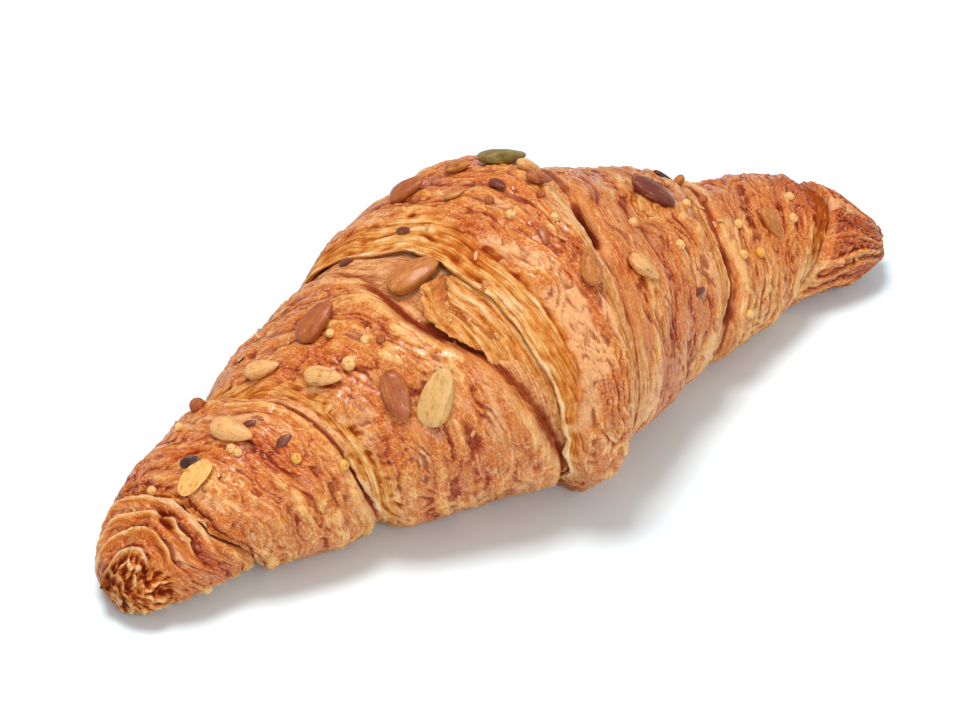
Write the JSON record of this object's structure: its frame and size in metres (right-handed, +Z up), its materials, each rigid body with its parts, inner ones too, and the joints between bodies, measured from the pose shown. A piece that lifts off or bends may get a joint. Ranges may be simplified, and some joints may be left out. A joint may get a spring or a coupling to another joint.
{
  "type": "seeded croissant",
  "caption": "Straight baked croissant of rolled flaky dough with stepped helical edges, glazed brown crust and scattered seeds, lying on a flat base.",
  "frame": {"origin": "centre of the bounding box in X and Y, at the underside that the croissant lies on", "axes": "+X along the roll from the blunt end to the pinched end, +Y to the side that faces away in the picture, +Z up"},
  "size_m": [0.2, 0.0799, 0.059],
  "materials": {
    "baked_crust": "egg-glazed flaky crust, golden to red-brown, satin gloss",
    "pumpkin_seed": "toasted seed, satin",
    "sunflower_seed": "toasted seed, satin",
    "flax_seed": "glossy dark seed",
    "millet_seed": "small round grain, satin",
    "oat_flake": "dry rolled flake, matte"
  },
  "bodies": {
    "root": {"croissant": "baked_crust"}
  },
  "joints": []
}
